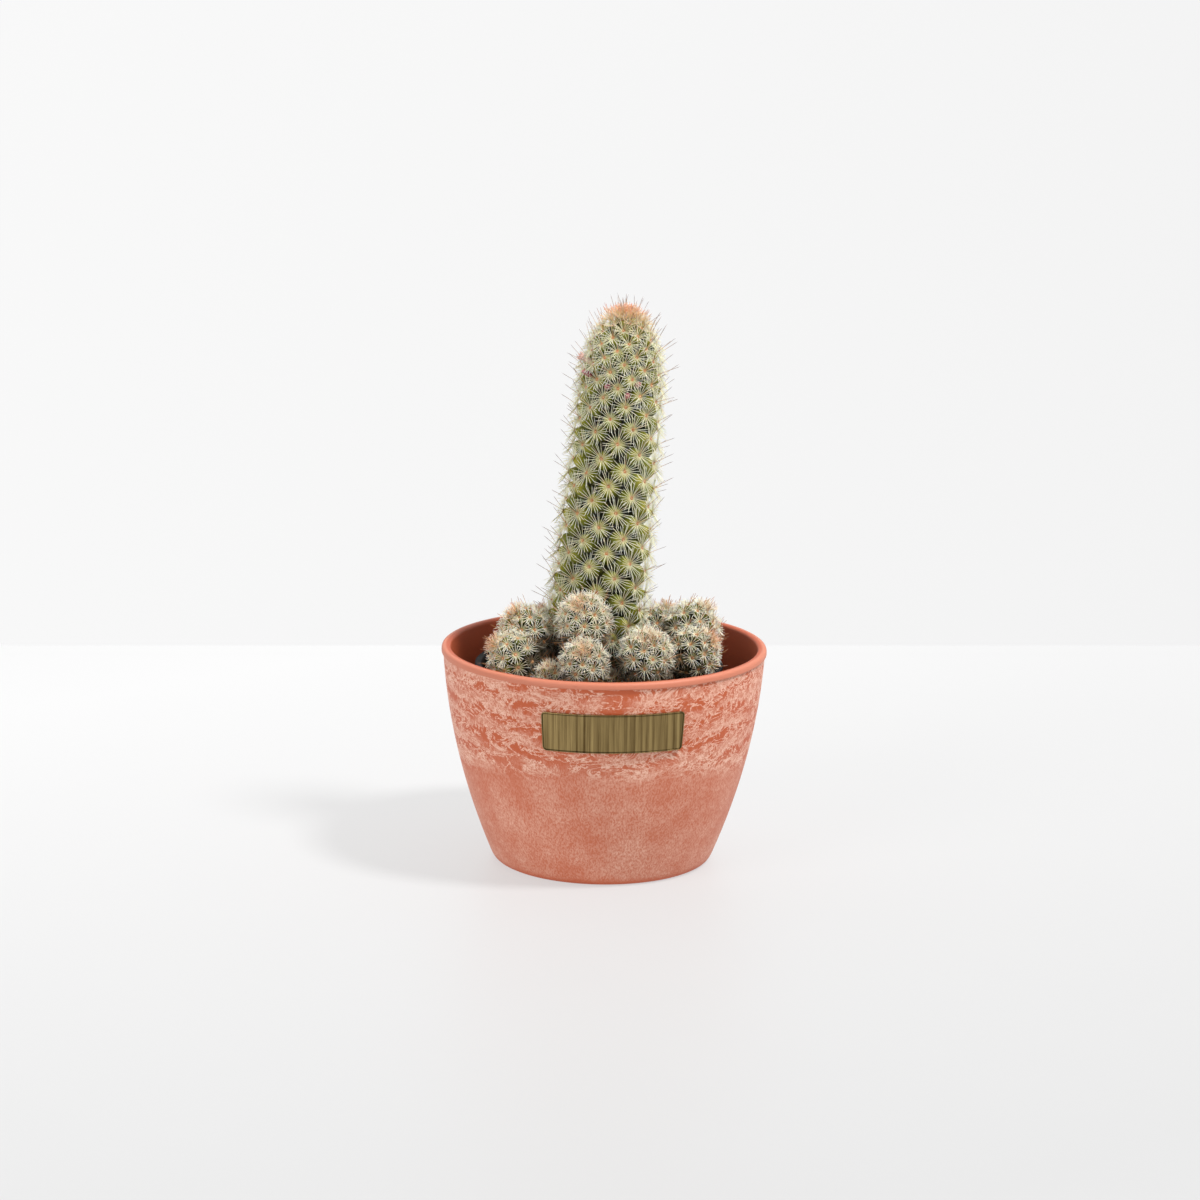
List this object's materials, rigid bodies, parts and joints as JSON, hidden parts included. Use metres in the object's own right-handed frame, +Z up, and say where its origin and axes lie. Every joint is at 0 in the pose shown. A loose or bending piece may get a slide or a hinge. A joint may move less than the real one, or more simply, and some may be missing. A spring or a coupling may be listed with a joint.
{
  "type": "potted lady finger cactus",
  "caption": "Finger-shaped cactus with a ring of short offsets, in a black grower's pot inside a tapering terracotta-coloured pot with a blank brass plate.",
  "frame": {"origin": "centre of the outer pot's flat base, on the surface it stands on", "axes": "+Z up along the outer pot's axis and the main stem, -Y to the front where the plate is, +X to the right seen from the front"},
  "size_m": [0.1404, 0.1404, 0.2433],
  "materials": {
    "terracotta": "matt moulded terracotta composite with pale marbled streaks",
    "antique_brass": "brushed antique brass",
    "black_plastic": "thin moulded plastic",
    "potting_mix": "dark crumbly potting mix",
    "cactus_stem": "waxy green skin under cream spines",
    "cactus_offset": "waxy green skin under dense cream spines"
  },
  "bodies": {
    "root": {"outer_pot": "terracotta", "brass_plate": "antique_brass", "nursery_pot": "black_plastic", "soil": "potting_mix", "main_stem": "cactus_stem", "pup_1": "cactus_offset", "pup_2": "cactus_offset", "pup_3": "cactus_offset", "pup_4": "cactus_offset", "pup_5": "cactus_offset", "pup_6": "cactus_offset", "pup_7": "cactus_offset", "pup_8": "cactus_offset", "pup_9": "cactus_offset", "pup_10": "cactus_offset", "pup_11": "cactus_offset", "pup_12": "cactus_offset", "pup_13": "cactus_offset"}
  },
  "joints": []
}
